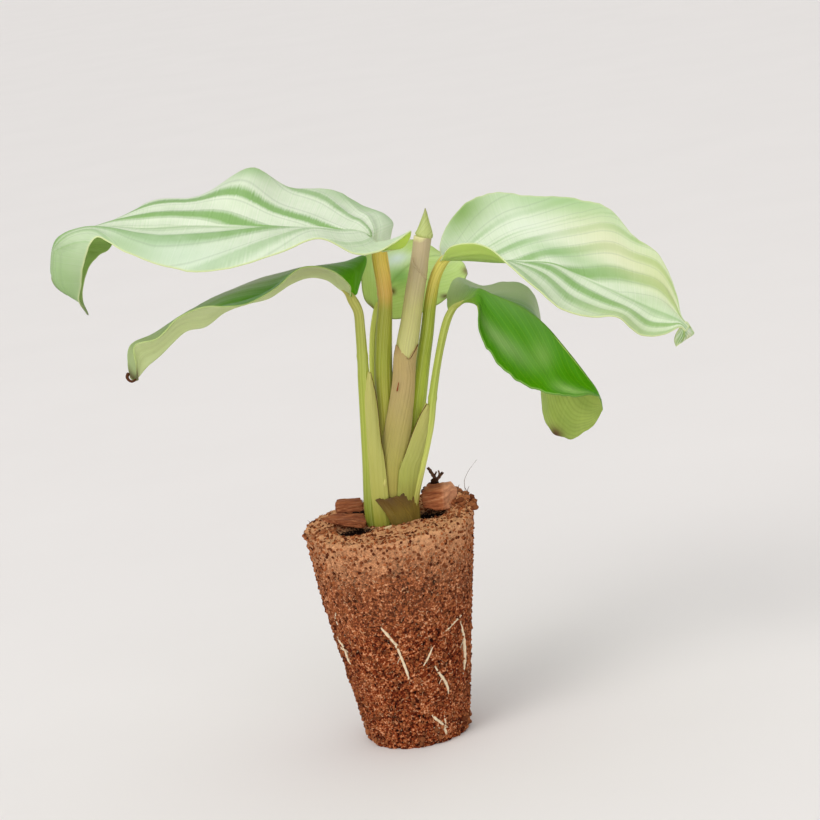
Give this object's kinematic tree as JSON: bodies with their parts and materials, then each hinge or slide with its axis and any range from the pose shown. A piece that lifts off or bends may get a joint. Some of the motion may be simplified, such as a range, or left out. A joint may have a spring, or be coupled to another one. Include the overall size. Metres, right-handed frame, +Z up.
{
  "type": "young calathea orbifolia plant in a peat plug",
  "caption": "Young calathea orbifolia with arching striped leaves, a rolled new leaf and sheathed stalks, rooted in a tapered peat plug that stands on its flat base.",
  "frame": {"origin": "centre of the plug's flat base", "axes": "+Z up, +X to the right of the picture along the plant's widest spread, -Y towards the viewer"},
  "size_m": [0.1201, 0.0614, 0.1177],
  "materials": {
    "peat": "rough fibrous peat with cream roots",
    "spear_sheath": "satin, pinkish brown to yellow green",
    "rolled_leaf": "satin",
    "stalk": "satin lime green, orange at the top joint",
    "dry_sheath": "dry, ribbed, matte",
    "striped_leaf": "satin, silver and green bands, yellow green below",
    "green_leaf": "glossy deep green above, pale green below",
    "bark": "rough split bark",
    "twig": "dark and rough"
  },
  "bodies": {
    "root": {"peat_plug": "peat", "spear_sheath": "spear_sheath", "rolled_leaf": "rolled_leaf", "stem_upper_left": "stalk", "stem_upper_right": "stalk", "stem_back": "stalk", "stem_lower_left": "stalk", "stem_lower_right": "stalk", "old_sheath": "dry_sheath", "blade_upper_left": "striped_leaf", "blade_upper_right": "striped_leaf", "blade_lower_left": "green_leaf", "blade_lower_right": "green_leaf", "blade_back": "green_leaf", "bark_chip_left_back": "bark", "bark_chip_left_front": "bark", "bark_chip_right": "bark", "twig": "twig"}
  },
  "joints": []
}
